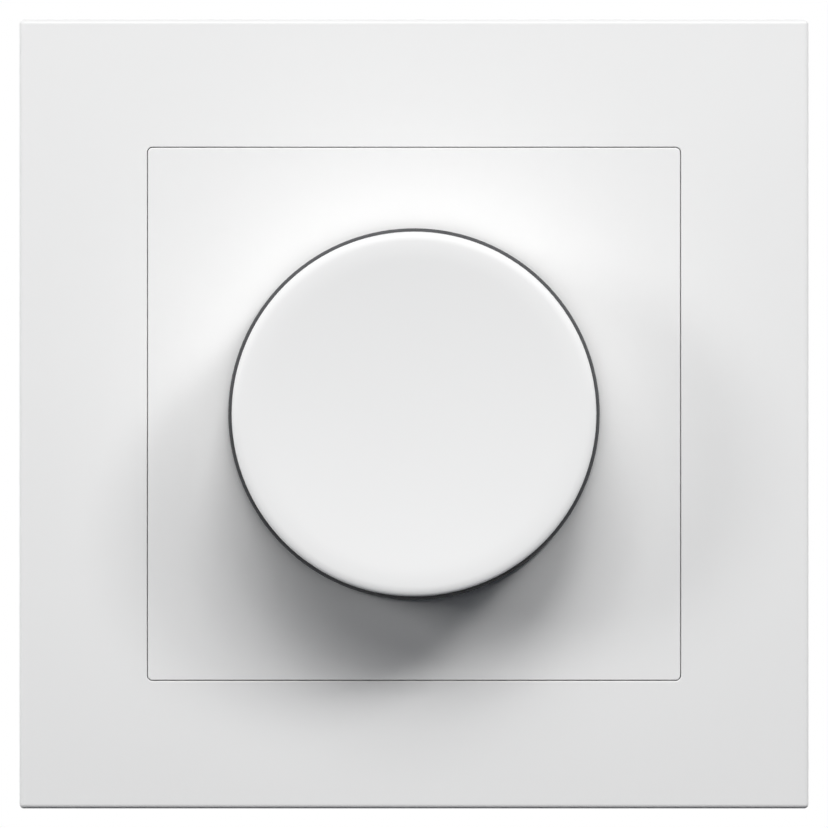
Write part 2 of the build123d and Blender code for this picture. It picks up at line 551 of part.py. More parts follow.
# Housing: deep tub behind the wall plane, with screw bosses, board ribs and openings for the terminals
with BuildPart() as housing:
    with BuildSketch(out(TUB_REAR)):
        RectangleRounded(TUB_WIDTH, TUB_HEIGHT, TUB_CORNER)
    extrude(amount=-TUB_REAR)
    fillet(housing.faces().sort_by(Axis.Y)[-1].edges(), TUB_EDGE)
    with BuildSketch(out(TUB_FLOOR)):
        RectangleRounded(TUB_INSIDE_WIDTH, TUB_INSIDE_HEIGHT, TUB_CORNER - TUB_WALL)
    extrude(amount=-TUB_FLOOR, mode=Mode.SUBTRACT)
    with BuildSketch(out(TUB_FLOOR)):
        with Locations(*BOSSES):
            Circle(BOSS_RADIUS)
    extrude(amount=-TUB_FLOOR)
    with BuildSketch(out(TUB_FLOOR)):
        with GridLocations(TUB_INSIDE_WIDTH - TUB_RIB_REACH + TUB_WALL, TUB_RIB_SPACING, 2, 2):
            Rectangle(TUB_RIB_REACH + TUB_WALL, TUB_RIB)
        with Locations((0, (TUB_INSIDE_HEIGHT - TUB_RIB_REACH + TUB_WALL) / 2)):
            with GridLocations(TUB_TOP_RIB_SPACING, 0, 2, 1):
                Rectangle(TUB_RIB, TUB_RIB_REACH + TUB_WALL)
    extrude(amount=BOARD_REAR - TUB_FLOOR)
    with BuildSketch(out(COVER_TOP - HOUSING_SCREW_SINK - HOUSING_SCREW_LENGTH - HOUSING_SCREW_END_ROOM)):
        with Locations(*BOSSES):
            Circle(HOUSING_SCREW_RADIUS + RUNNING_FIT)
    extrude(amount=HOUSING_SCREW_LENGTH, mode=Mode.SUBTRACT)
    with BuildSketch(out(TUB_REAR)):
        with Locations(*[(x, TERMINAL_Z) for x in TERMINALS]):
            Circle(TERMINAL_HEAD_RADIUS + HOLE_CLEARANCE)
    extrude(amount=TUB_WALL, mode=Mode.SUBTRACT)
    with BuildSketch(Plane.XY.offset(-TUB_HEIGHT / 2)):
        with Locations(*[(x, -WIRE_HEIGHT) for x in TERMINALS]):
            Circle(WIRE_RADIUS + WIRE_ENTRY_CLEARANCE)
    extrude(amount=TUB_WALL, mode=Mode.SUBTRACT)
    entries = housing.faces().sort_by(Axis.Z)[0].edges().filter_by(GeomType.CIRCLE)
    chamfer(entries, WIRE_FUNNEL)
    for wall_z in (-TUB_HEIGHT / 2, TUB_HEIGHT / 2 - TUB_WALL):
        with BuildSketch(Plane.XY.offset(wall_z)):
            with Locations((0, VENT_SETBACK + VENT_LENGTH / 2)):
                with GridLocations(VENT_SPACING, 0, VENT_COUNT, 1):
                    SlotOverall(VENT_LENGTH, VENT_WIDTH, rotation=90)
        extrude(amount=TUB_WALL, mode=Mode.SUBTRACT)

housing.part.label = "housing"
export_step(housing.part, "parts/housing.step")


def turned_screw(x, z, head_front, tip, shank_radius, head_radius, head_thick, tip_radius, slot, slot_depth):
    """Slotted screw square to the wall; its head is at head_front and its domed or flat tip at tip."""
    way = 1 if tip > head_front else -1
    shank_length = abs(tip - head_front)
    with BuildPart() as screw:
        with BuildSketch(turning(x, z)):
            with BuildLine():
                Polyline(
                    (0, head_front - way * head_thick),
                    (head_radius, head_front - way * head_thick),
                    (head_radius, head_front),
                    (shank_radius, head_front),
                    (shank_radius, head_front + way * (shank_length - tip_radius)),
                    (shank_radius - tip_radius, tip),
                    (0, tip),
                    close=True,
                )
            make_face()
        revolve(axis=spindle(x, z))
        with BuildSketch(out(head_front - way * head_thick)):
            with Locations((x, z)):
                Rectangle(2 * head_radius, slot)
        extrude(amount=way * slot_depth, mode=Mode.SUBTRACT)
    return screw.part


# Housing screws: four alike, from the counterbores of the insert cover through the ring into the bosses
HOUSING_HEAD_REAR = COVER_TOP - HOUSING_SCREW_SINK
screw_parts = [
    turned_screw(
        x, z,
        HOUSING_HEAD_REAR,
        HOUSING_HEAD_REAR - HOUSING_SCREW_LENGTH,
        HOUSING_SCREW_RADIUS,
        HOUSING_SCREW_HEAD_RADIUS,
        HOUSING_SCREW_HEAD,
        HOUSING_SCREW_RADIUS / 2,
        HOUSING_SCREW_SLOT,
        HOUSING_SCREW_SLOT,
    )
    for x, z in BOSSES
]
with BuildPart() as housing_screws:
    for screw_part in screw_parts:
        add(screw_part)

housing_screws.part.label = "housing_screws"
export_step(housing_screws.part, "parts/housing_screws.step")


def inner_outline():
    """Outline of a plate that drops into the tub round its bosses."""
    RectangleRounded(
        TUB_INSIDE_WIDTH - 2 * FIT_CLEARANCE,
        TUB_INSIDE_HEIGHT - 2 * FIT_CLEARANCE,
        TUB_CORNER - TUB_WALL - FIT_CLEARANCE,
    )
    with Locations(*BOSSES):
        Circle(BOSS_RADIUS + FIT_CLEARANCE, mode=Mode.SUBTRACT)


# Heat sink: aluminium plate against the rear of the support ring
with BuildPart() as heat_sink:
    with BuildSketch(out(SINK_REAR)):
        inner_outline()
        Circle(POT_COLLAR_RADIUS + FIT_CLEARANCE, mode=Mode.SUBTRACT)
    extrude(amount=SINK_THICK)

heat_sink.part.label = "heat_sink"
export_step(heat_sink.part, "parts/heat_sink.step")

# Circuit board: stands on the ribs of the tub
with BuildPart() as circuit_board:
    with BuildSketch(out(BOARD_REAR)):
        inner_outline()
        Circle(BOARD_HOLE_RADIUS, mode=Mode.SUBTRACT)
    extrude(amount=BOARD_THICK)

circuit_board.part.label = "circuit_board"
export_step(circuit_board.part, "parts/circuit_board.step")

# Potentiometer body: round can with a collar that reaches up to the insert cover
POT_COLLAR_TOP = COVER_TOP - COVER_WALL
with BuildPart() as pot_body:
    with BuildSketch(turning()):
        with BuildLine():
            Polyline(
                (NECK_BORE, POT_COLLAR_TOP),
                (POT_COLLAR_RADIUS, POT_COLLAR_TOP),
                (POT_COLLAR_RADIUS, SINK_REAR),
                (POT_RADIUS, SINK_REAR),
                (POT_RADIUS, POT_REAR),
                (NECK_BORE, POT_REAR),
                (NECK_BORE, POT_REAR + POT_WALL),
                (POT_HOLLOW_RADIUS, POT_REAR + POT_WALL),
                (POT_HOLLOW_RADIUS, SINK_REAR - POT_WALL),
                (NECK_BORE, SINK_REAR - POT_WALL),
                close=True,
            )
        make_face()
    revolve(axis=Axis.Y)

pot_body.part.label = "pot_body"
export_step(pot_body.part, "parts/pot_body.step")

# Rotor: turned by the shaft's flat inside the can
with BuildPart() as pot_rotor:
    with BuildSketch(out(POT_REAR + POT_WALL + ROTOR_END_PLAY)):
        Circle(ROTOR_RADIUS)
    extrude(amount=POT_DEPTH - 2 * POT_WALL - 2 * ROTOR_END_PLAY)
    with BuildSketch(out(POT_REAR)):
        d_outline(SHAFT_RADIUS + RUNNING_FIT, SHAFT_FLAT + RUNNING_FIT)
    extrude(amount=POT_DEPTH, mode=Mode.SUBTRACT)

pot_rotor.part.label = "pot_rotor"
export_step(pot_rotor.part, "parts/pot_rotor.step")

# Push switch: square body behind the board, with a sprung plunger in line with the shaft
PLUNGER_FLANGE_FRONT = BOARD_REAR - PLUNGER_STEM
PLUNGER_FLANGE_REAR = PLUNGER_FLANGE_FRONT - PLUNGER_FLANGE
with BuildPart() as switch_body:
    with BuildSketch(out(SWITCH_REAR)):
        Rectangle(SWITCH_SIDE, SWITCH_SIDE)
    extrude(amount=SWITCH_DEPTH)
    with BuildSketch(out(SWITCH_REAR + SWITCH_WALL)):
        Circle(PLUNGER_FLANGE_RADIUS + FIT_CLEARANCE)
    extrude(amount=SWITCH_DEPTH - 2 * SWITCH_WALL, mode=Mode.SUBTRACT)
    with BuildSketch(out(BOARD_REAR - SWITCH_WALL)):
        Circle(PLUNGER_RADIUS + RUNNING_FIT)
    extrude(amount=SWITCH_WALL, mode=Mode.SUBTRACT)

switch_body.part.label = "switch_body"
export_step(switch_body.part, "parts/switch_body.step")

with BuildPart() as switch_plunger:
    with BuildSketch(out(PLUNGER_FLANGE_REAR)):
        Circle(PLUNGER_FLANGE_RADIUS)
    extrude(amount=PLUNGER_FLANGE)
    with BuildSketch(out(PLUNGER_FLANGE_FRONT)):
        Circle(PLUNGER_RADIUS)
    extrude(amount=PLUNGER_FRONT - PLUNGER_FLANGE_FRONT)

switch_plunger.part.label = "switch_plunger"
export_step(switch_plunger.part, "parts/switch_plunger.step")

# Return spring of the switch, between the plunger's flange and the floor of the switch
SPRING_LENGTH = PLUNGER_FLANGE_REAR - SWITCH_REAR - SWITCH_WALL - SPRING_WIRE
with BuildPart() as switch_spring:
    with BuildLine():
        coil = Helix(
            SPRING_LENGTH / SPRING_TURNS,
            SPRING_LENGTH,
            SPRING_RADIUS,
            center=(0, -SWITCH_REAR - SWITCH_WALL - SPRING_WIRE / 2, 0),
            direction=(0, -1, 0),
        )
    with BuildSketch(Plane(origin=coil @ 0, z_dir=coil % 0)):
        Circle(SPRING_WIRE / 2)
    sweep(path=coil, is_frenet=True)

switch_spring.part.label = "switch_spring"
export_step(switch_spring.part, "parts/switch_spring.step")


def power_transistor(x):
    """Moulded package on the heat sink with three leads down to the board."""
    with BuildPart() as transistor:
        with BuildSketch(out(SINK_REAR - TRANSISTOR_THICK)):
            with Locations((x, FRONT_PARTS_DISTANCE)):
                Rectangle(TRANSISTOR_WIDTH, TRANSISTOR_LENGTH)
        extrude(amount=TRANSISTOR_THICK)
        with BuildSketch(out(POT_REAR)):
            with Locations((x, FRONT_PARTS_DISTANCE)):
                with GridLocations(LEAD_SPACING, 0, 3, 1):
                    Circle(LEAD_RADIUS)
        extrude(amount=SINK_REAR - TRANSISTOR_THICK - POT_REAR)
    return transistor.part


# Power transistors: a pair side by side above the potentiometer
for number, transistor_x in enumerate((-TRANSISTOR_SPACING / 2, TRANSISTOR_SPACING / 2), start=1):
    transistor_part = power_transistor(transistor_x)
    transistor_part.label = f"power_transistor_{number}"
    export_step(transistor_part, f"parts/power_transistor_{number}.step")

# Interference choke: ring core inside its winding, flat on the board beside the switch
CHOKE_X = -SIDE_PART_X - CHOKE_RADIUS
CORE_WIDTH = CHOKE_RADIUS - CHOKE_HOLE_RADIUS - 2 * CHOKE_WINDING
CORE_DEPTH = CHOKE_DEPTH - 2 * CHOKE_WINDING
CHOKE_MIDDLE = ((CHOKE_RADIUS + CHOKE_HOLE_RADIUS) / 2, BOARD_REAR - CHOKE_DEPTH / 2)
with BuildPart() as choke_core:
    with BuildSketch(turning(CHOKE_X, SIDE_PARTS_DISTANCE)):
        with Locations(CHOKE_MIDDLE):
            Rectangle(CORE_WIDTH - 2 * RUNNING_FIT, CORE_DEPTH - 2 * RUNNING_FIT)
    revolve(axis=spindle(CHOKE_X, SIDE_PARTS_DISTANCE))

choke_core.part.label = "choke_core"
export_step(choke_core.part, "parts/choke_core.step")

with BuildPart() as choke_winding:
    with BuildSketch(turning(CHOKE_X, SIDE_PARTS_DISTANCE)):
        with Locations(CHOKE_MIDDLE):
            Rectangle(CORE_WIDTH + 2 * CHOKE_WINDING, CHOKE_DEPTH)
            Rectangle(CORE_WIDTH, CORE_DEPTH, mode=Mode.SUBTRACT)
    revolve(axis=spindle(CHOKE_X, SIDE_PARTS_DISTANCE), revolution_arc=360 - CHOKE_MOUTH)

choke_winding.part.label = "choke_winding"
export_step(choke_winding.part, "parts/choke_winding.step")

# Fuse: sealed round body on the board, below the choke
with BuildPart() as fuse:
    with BuildSketch(out(BOARD_REAR - FUSE_DEPTH)):
        with Locations((-SIDE_PART_X - FUSE_RADIUS, -SIDE_PARTS_DISTANCE)):
            Circle(FUSE_RADIUS)
    extrude(amount=FUSE_DEPTH)
    fillet(fuse.faces().sort_by(Axis.Y)[-1].edges(), CAN_EDGE)

fuse.part.label = "fuse"
export_step(fuse.part, "parts/fuse.step")

# Electrolytic capacitor: sealed can on the board, on the other side of the switch
with BuildPart() as electrolytic_capacitor:
    with BuildSketch(out(BOARD_REAR - CAN_DEPTH)):
        with Locations((SIDE_PART_X + CAN_RADIUS, SIDE_PARTS_DISTANCE)):
            Circle(CAN_RADIUS)
    extrude(amount=CAN_DEPTH)
    fillet(electrolytic_capacitor.faces().sort_by(Axis.Y)[-1].edges(), CAN_EDGE)

electrolytic_capacitor.part.label = "electrolytic_capacitor"
export_step(electrolytic_capacitor.part, "parts/electrolytic_capacitor.step")

# Film capacitor: sealed block across the top of the board
with BuildPart() as film_capacitor:
    with BuildSketch(out(BOARD_REAR - FILM_DEPTH)):
        with Locations((0, FILM_DISTANCE)):
            Rectangle(FILM_WIDTH, FILM_THICK)
    extrude(amount=FILM_DEPTH)
    fillet(film_capacitor.faces().sort_by(Axis.Y)[-1].edges(), CAN_EDGE)

film_capacitor.part.label = "film_capacitor"
export_step(film_capacitor.part, "parts/film_capacitor.step")

# Control chip: flat package on the front of the board, below the potentiometer
with BuildPart() as control_chip:
    with BuildSketch(out(POT_REAR)):
        with Locations((0, -FRONT_PARTS_DISTANCE)):
            Rectangle(CHIP_WIDTH, CHIP_LENGTH)
    extrude(amount=CHIP_THICK)

control_chip.part.label = "control_chip"
export_step(control_chip.part, "parts/control_chip.step")


def terminal_pillar(x):
    """Brass block on the board with a wire bore upwards and a screw thread from the rear."""
    with BuildPart() as pillar:
        with BuildSketch(out(PILLAR_REAR)):
            with Locations((x, TERMINAL_Z)):
                Rectangle(PILLAR_WIDTH, PILLAR_LENGTH)
        extrude(amount=BOARD_REAR - PILLAR_REAR)
        with BuildSketch(Plane.XY.offset(PILLAR_FOOT)):
            with Locations((x, -WIRE_HEIGHT)):
                Circle(WIRE_RADIUS)
        extrude(amount=PILLAR_LENGTH, mode=Mode.SUBTRACT)
        with BuildSketch(out(PILLAR_REAR)):
            with Locations((x, TERMINAL_Z)):
                Circle(TERMINAL_SCREW_RADIUS + RUNNING_FIT)
        extrude(amount=WIRE_HEIGHT - PILLAR_REAR, mode=Mode.SUBTRACT)
    return pillar.part


# Terminals: a row of brass pillars, each with its screw backed out so that the wire bore is open
for number, terminal_x in enumerate(TERMINALS, start=1):
    pillar_part = terminal_pillar(terminal_x)
    pillar_part.label = f"terminal_pillar_{number}"
    export_step(pillar_part, f"parts/terminal_pillar_{number}.step")
    screw_part = turned_screw(
        terminal_x,
        TERMINAL_Z,
        TERMINAL_HEAD_FRONT,
        SCREW_TIP,
        TERMINAL_SCREW_RADIUS,
        TERMINAL_HEAD_RADIUS,
        TERMINAL_HEAD,
        TERMINAL_SCREW_TIP,
        SCREW_SLOT,
        SCREW_SLOT_DEPTH,
    )
    screw_part.label = f"terminal_screw_{number}"
    export_step(screw_part, f"parts/terminal_screw_{number}.step")


def claw(side):
    """Bent steel strip that hangs in the lugs of the ring; side is 1 for the right and -1 for the left."""
    pivot = (side * CLAW_PIVOT_X, CLAW_PIVOT_DROP)
    tab_end = side * (TUB_WIDTH / 2 + CLAW_TAB_CLEARANCE)
    knee = CLAW_PIVOT_DROP + CLAW_LENGTH - CLAW_FOOT_RISE
    foot = (side * (CLAW_PIVOT_X + CLAW_FOOT_REACH), CLAW_PIVOT_DROP + CLAW_LENGTH)
    with BuildPart() as strip:
        with BuildSketch(Plane.XY):
            with BuildLine():
                Polyline((tab_end, pivot[1]), pivot, (pivot[0], knee), foot)
            trace(line_width=CLAW_THICK)
            with Locations(pivot):
                Circle(CLAW_KNUCKLE)
        extrude(amount=CLAW_WIDTH / 2, both=True)
        with BuildSketch(Plane.YZ):
            with BuildLine():
                for tooth in range(CLAW_TOOTH_COUNT - 1):
                    tooth_z = CLAW_WIDTH * ((tooth + 1) / CLAW_TOOTH_COUNT - 0.5)
                    Polyline(
                        (foot[1] + CLAW_THICK, tooth_z - CLAW_TOOTH),
                        (foot[1] + CLAW_THICK, tooth_z + CLAW_TOOTH),
                        (foot[1] - CLAW_TOOTH, tooth_z),
                        close=True,
                    )
            make_face()
        extrude(amount=side * 2 * CLAW_PIVOT_X, mode=Mode.SUBTRACT)
        with BuildSketch(Plane.XY):
            with Locations(pivot):
                Circle(CLAW_TRUNNION_RADIUS)
        extrude(amount=LUG_OFFSET + RING_THICK, both=True)
    return strip.part


# Claws and their screws: driving the screw against the short tab swings the long leg outwards
CLAW_TAB_TOP = -CLAW_PIVOT_DROP + CLAW_THICK / 2
for name, side in (("left", -1), ("right", 1)):
    claw_part = claw(side)
    claw_part.label = f"claw_{name}"
    export_step(claw_part, f"parts/claw_{name}.step")
    screw_part = turned_screw(
        side * CLAW_SCREW_X,
        0,
        RING_THICK + CLAW_SCREW_START + CLAW_SCREW_TRAVEL,
        CLAW_TAB_TOP + CLAW_SCREW_TIP_GAP,
        CLAW_SCREW_RADIUS,
        CLAW_HEAD_RADIUS,
        CLAW_HEAD,
        CLAW_SCREW_RADIUS - CLAW_SCREW_TIP,
        SCREW_SLOT,
        SCREW_SLOT_DEPTH,
    )
    screw_part.label = f"claw_screw_{name}"
    export_step(screw_part, f"parts/claw_screw_{name}.step")
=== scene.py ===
# %% [markdown]
# # A rotary dimmer for a wall box
#
# The object is a flush-mounted dimmer: a square cover frame, a flat centre plate and a round knob in front,
# and a housing with terminals and claws behind the wall plane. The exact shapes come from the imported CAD
# model. This lesson gives them their finishes, adds the fine pieces that are too small for the CAD model, and
# sets up a soft studio round them.

# %% Load the CAD frame
import json
import math

import bpy
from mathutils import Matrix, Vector


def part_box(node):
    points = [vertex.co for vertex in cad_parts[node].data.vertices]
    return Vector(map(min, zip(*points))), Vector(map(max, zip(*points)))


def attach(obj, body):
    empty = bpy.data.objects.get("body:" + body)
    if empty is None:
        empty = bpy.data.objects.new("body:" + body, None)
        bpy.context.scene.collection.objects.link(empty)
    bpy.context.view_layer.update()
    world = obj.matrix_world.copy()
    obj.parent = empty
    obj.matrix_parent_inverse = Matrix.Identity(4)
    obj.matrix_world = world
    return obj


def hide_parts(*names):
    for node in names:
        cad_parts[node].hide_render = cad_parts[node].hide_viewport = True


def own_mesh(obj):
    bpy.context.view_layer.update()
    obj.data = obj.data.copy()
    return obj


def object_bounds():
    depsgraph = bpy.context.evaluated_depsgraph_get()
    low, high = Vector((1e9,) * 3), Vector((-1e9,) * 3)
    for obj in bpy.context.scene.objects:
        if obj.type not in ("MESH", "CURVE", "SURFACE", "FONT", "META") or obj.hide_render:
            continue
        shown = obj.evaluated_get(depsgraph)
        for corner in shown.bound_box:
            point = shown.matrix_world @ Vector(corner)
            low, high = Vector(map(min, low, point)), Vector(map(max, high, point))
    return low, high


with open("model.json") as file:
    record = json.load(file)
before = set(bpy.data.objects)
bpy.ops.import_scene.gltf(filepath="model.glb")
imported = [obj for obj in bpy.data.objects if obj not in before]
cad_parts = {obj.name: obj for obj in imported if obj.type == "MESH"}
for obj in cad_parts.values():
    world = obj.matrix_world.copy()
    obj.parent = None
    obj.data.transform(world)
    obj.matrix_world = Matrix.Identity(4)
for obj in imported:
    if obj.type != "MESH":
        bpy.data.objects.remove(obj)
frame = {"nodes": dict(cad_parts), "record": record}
nodes = frame["nodes"]
cad_low, cad_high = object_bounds()
bpy.ops.object.select_all(action="DESELECT")
bpy.context.view_layer.objects.active = None
print("CAD nodes:", len(nodes))
print("CAD box in mm:", [round(1000 * side, 2) for side in cad_high - cad_low])

# %% [markdown]
# ## Sums on surfaces
#
# A finish is a small program: it says how colour, gloss and relief change from place to place. Blender writes
# such programs as nodes, which are slow to read in code. A thin wrapper round a socket lets us write
# `1 - mask` or `grain * 0.2 + 0.3` and adds the Math nodes for us.


# %% A socket that takes part in sums
class Reading:
    """An output socket: a number or a colour that changes over the surface."""

    def __init__(self, graph, socket):
        self.graph = graph
        self.socket = socket

    def __add__(self, other):
        return self.graph.math("ADD", self, other)

    def __radd__(self, other):
        return self.graph.math("ADD", other, self)

    def __sub__(self, other):
        return self.graph.math("SUBTRACT", self, other)

    def __rsub__(self, other):
        return self.graph.math("SUBTRACT", other, self)

    def __mul__(self, other):
        return self.graph.math("MULTIPLY", self, other)

    def __rmul__(self, other):
        return self.graph.math("MULTIPLY", other, self)


# %% A tree that is built up node by node
MIX_SHARE, MIX_UNDER, MIX_OVER, MIX_RESULT = 0, 6, 7, 2  # sockets of a Mix node when it mixes colours


def colour(value):
    """A reading stays as it is, and three numbers get the alpha that a socket asks for."""
    return value if isinstance(value, Reading) else (*value, 1)


class Graph:
    """The node tree of a material or of the world; every new node in it comes from one method."""

    def __init__(self, tree):
        self.tree = tree

    def join(self, value, socket):
        if isinstance(value, Reading):
            self.tree.links.new(value.socket, socket)
        else:
            socket.default_value = value

    def node(self, kind, settings=None, sockets=None, output=0):
        """Adds a node, sets it up, fills or links its sockets and gives back one of its outputs."""
        made = self.tree.nodes.new("ShaderNode" + kind)
        for name, value in (settings or {}).items():
            if name == "stops":
                for stop, (position, tone) in zip(made.color_ramp.elements, value):
                    stop.position = position
                    stop.color = (tone, tone, tone, 1)
            else:
                setattr(made, name, value)
        for name, value in (sockets or {}).items():
            self.join(value, made.inputs[name])
        return Reading(self, made.outputs[output])

    def math(self, operation, first, second):
        return self.node("Math", {"operation": operation}, {0: first, 1: second})

    def blend(self, share, under, over):
        """Colour that goes from under to over as share goes from 0 to 1."""
        sockets = {MIX_SHARE: share, MIX_UNDER: colour(under), MIX_OVER: colour(over)}
        return self.node("Mix", {"data_type": "RGBA", "clamp_factor": True}, sockets, output=MIX_RESULT)


# %% A finish
class Finish(Graph):
    """A material for one kind of surface, with the object's own coordinates as its map."""

    def __init__(self, name, **uniform):
        self.material = bpy.data.materials.new(name)
        self.material.use_nodes = True
        super().__init__(self.material.node_tree)
        self.shader = self.tree.nodes["Principled BSDF"]
        for socket, value in uniform.items():
            self.shader.inputs[socket.replace("_", " ")].default_value = value
        self.place = self.node("TexCoord", output="Object")
        self.normal = None

    def noise(self, size, detail=2.0, stretch=None):
        """Cloudy noise with blots of about this size in metres, from 0 to 1."""
        place = self.place
        if stretch:
            place = self.node("Mapping", None, {"Vector": place, "Scale": stretch})
        return self.node("TexNoise", None, {"Vector": place, "Scale": 1 / size, "Detail": detail})

    def grain(self, size, detail=2.0, stretch=None):
        """The same noise, from -1 to 1, for what swings both ways round a value."""
        return (self.noise(size, detail, stretch) - 0.5) * 2

    def threshold(self, reading, low, high):
        """0 below low, 1 above high, and a straight slope between them."""
        return self.node("ValToRGB", {"stops": [(low, 0), (high, 1)]}, {"Fac": reading})

    def relief(self, height, depth):
        """Adds bumps: height from 0 to 1 stands for a depth in metres."""
        sockets = {"Height": height, "Distance": depth, "Strength": 1.0}
        if self.normal:
            sockets["Normal"] = self.normal
        self.normal = self.node("Bump", None, sockets)

    def done(self, tint, roughness):
        """Feeds the shader and gives back the material."""
        for value, name in ((tint, "Base Color"), (roughness, "Roughness"), (self.normal, "Normal")):
            if value is not None:
                self.join(value, self.shader.inputs[name])
        return self.material


finishes = {}

# %% [markdown]
# ## White moulded plastic
#
# The frame, the plate and the knob are injection moulded in one white plastic with a satin gloss. A plain
# white would look like paper, so three quiet effects are layered: a hardly visible cloudiness of the pigment,
# a gloss that varies by a few hundredths, and a relief of a few thousandths of a millimetre from the mould.
# The knob is a shade lighter than the flat parts, as painted light that brightens its face, and a little
# duller, so its rounded shoulder doesn't glare.


# %% White plastic for the flat parts and for the knob
SATIN_IOR = 1.42
PIGMENT_CLOUD, MOULD_WAVE, MOULD_PORE = 0.018, 0.006, 0.00022
CLOUD_SHADE = 0.985


def moulded_white(name, white, gloss, skin):
    """Satin white plastic; skin is the depth of its pores in metres."""
    plastic = Finish(name, IOR=SATIN_IOR)
    shade = tuple(part * CLOUD_SHADE for part in white)
    tint = plastic.blend(plastic.noise(PIGMENT_CLOUD, detail=1.0), shade, white)
    pores = plastic.grain(MOULD_PORE, detail=3.0)
    plastic.relief(pores * 0.5 + 0.5, skin)
    plastic.relief(plastic.noise(MOULD_WAVE, detail=1.0), skin * 2)
    print(name, "white", white, "roughness", gloss)
    return plastic.done(tint, pores * 0.03 + gloss)


PLATE_WHITE = (0.842, 0.84, 0.834)
# Painted light: the knob's white is lifted above the plate's, so that its face shows brighter.
KNOB_WHITE_WITH_PAINTED_LIGHT = (0.888, 0.886, 0.88)
finishes["white_cover"] = moulded_white("white_cover", PLATE_WHITE, 0.4, 0.0000022)
finishes["white_knob"] = moulded_white("white_knob", KNOB_WHITE_WITH_PAINTED_LIGHT, 0.48, 0.0000015)

# %% [markdown]
# ## The dark ring
#
# A thin dark ring carries the knob's rim. On the real one it is a satin plastic, turned smooth by its round
# mould, so faint lines run round the axis. Rings of a Wave texture round Y give just that.

# %% Dark ring
WAVE_PERIOD = 0.314  # distance between the rings of a Wave texture whose scale is 1
RING_LINE_SPACING, RING_LINE_DEPTH, RING_BLOT = 0.0003, 0.000002, 0.002

ring = Finish("dark_ring", IOR=SATIN_IOR)
ring_lines = ring.node(
    "TexWave",
    {"wave_type": "RINGS", "rings_direction": "Y"},
    {"Vector": ring.place, "Scale": WAVE_PERIOD / RING_LINE_SPACING, "Distortion": 1.5, "Detail": 2.0},
    output="Fac",
)
ring.relief(ring_lines, RING_LINE_DEPTH)
ring_tint = ring.blend(ring.noise(RING_BLOT), (0.045, 0.046, 0.049), (0.07, 0.071, 0.075))
finishes["dark_ring"] = ring.done(ring_tint, ring_lines * 0.06 + 0.45)
print("ring lines every", 1000 * RING_LINE_SPACING, "mm")

# %% [markdown]
# ## Hidden plastics
#
# The housing, its cover and the small packages are technical plastics. Their moulds are spark eroded, which
# leaves a fine even grain with no shine. One function makes the grey and the black one: a grain of a tenth of
# a millimetre in the relief, and slow streaks of lighter pigment as the melt flowed in.


# %% Grey and black technical plastic
FLOW_STREAK, ERODED_GRAIN, ERODED_DEPTH = 0.009, 0.00012, 0.000008


def eroded_plastic(name, dark, light, gloss):
    plastic = Finish(name, IOR=1.5)
    flow = plastic.noise(FLOW_STREAK, detail=3.0, stretch=(1, 1, 0.35))
    fine = plastic.grain(ERODED_GRAIN)
    plastic.relief(fine * 0.5 + 0.5, ERODED_DEPTH)
    tint = plastic.blend(flow + fine * 0.15, dark, light)
    print(name, "eroded grain", 1000 * ERODED_GRAIN, "mm")
    return plastic.done(tint, fine * 0.06 + gloss)


finishes["grey_plastic"] = eroded_plastic("grey_plastic", (0.42, 0.43, 0.44), (0.5, 0.51, 0.52), 0.5)
finishes["black_plastic"] = eroded_plastic("black_plastic", (0.028, 0.028, 0.031), (0.05, 0.05, 0.054), 0.48)

# %% [markdown]
# ## Metals
#
# The support ring, the claws and the screws are steel with a bright zinc coat. Zinc is never even: it has
# soft clouds where the coat is thicker and fine rolling lines of the sheet under it. The pillars are turned
# brass, the heat sink is rolled aluminium, and the springs are drawn wire with a darker skin. The noise is
# stretched along the direction in which each metal was rolled, turned or drawn.


# %% Metals
ROLLING_LINE, SCUFF = 0.0003, 0.0016


def metal(name, dark, light, gloss, cloud_size, lines, line_depth):
    """Bare or coated metal; lines is the stretch of the noise, smallest along the direction of working."""
    sheet = Finish(name, Metallic=1.0)
    cloud = sheet.grain(cloud_size)
    drawn = sheet.grain(ROLLING_LINE, stretch=lines)
    scuffs = sheet.threshold(sheet.noise(SCUFF, detail=3.0, stretch=lines), 0.55, 0.85)
    sheet.relief(drawn * 0.5 + 0.5, line_depth)
    tint = sheet.blend(cloud * 0.5 + 0.5 + drawn * 0.06, dark, light)
    print(name, "clouds", 1000 * cloud_size, "mm")
    return sheet.done(tint, cloud * 0.07 + drawn * 0.04 + scuffs * 0.06 + gloss)


finishes["zinc_steel"] = metal(
    "zinc_steel", (0.56, 0.57, 0.58), (0.72, 0.73, 0.75), 0.3, 0.003, (1, 1, 0.06), 0.0000012
)
finishes["spring_steel"] = metal(
    "spring_steel", (0.32, 0.32, 0.33), (0.46, 0.46, 0.47), 0.32, 0.0012, (1, 0.3, 1), 0.000002
)
finishes["brass"] = metal(
    "brass", (0.66, 0.5, 0.22), (0.82, 0.65, 0.32), 0.26, 0.002, (0.08, 1, 1), 0.000003
)
finishes["aluminium"] = metal(
    "aluminium", (0.68, 0.69, 0.7), (0.8, 0.81, 0.82), 0.34, 0.005, (0.04, 1, 1), 0.000004
)

# %% [markdown]
# ## Works on the board
#
# Inside the housing sit a lacquered board, a choke with its enamelled winding and two capacitors. They are
# seldom seen, but the finish is what tells a reader of a cut-away view what each one is. The board's tracks
# show through the lacquer as a paler net. It lies where the nearest and the second nearest of scattered
# points are about as far away, and distances measured along the sides of a square make its lines straight.

# %% Board
TRACK_SPACING, TRACK_DEPTH, LACQUER_BLOT = 0.0032, 0.00003, 0.004
board = Finish("board", IOR=1.52)


def square_cells(order):
    """Distance to the nearest or second nearest point, F1 or F2, along the sides of a square."""
    settings = {"feature": order, "distance": "CHEBYCHEV"}
    sockets = {"Vector": board.place, "Scale": 1 / TRACK_SPACING, "Randomness": 0.8}
    return board.node("TexVoronoi", settings, sockets, output="Distance")


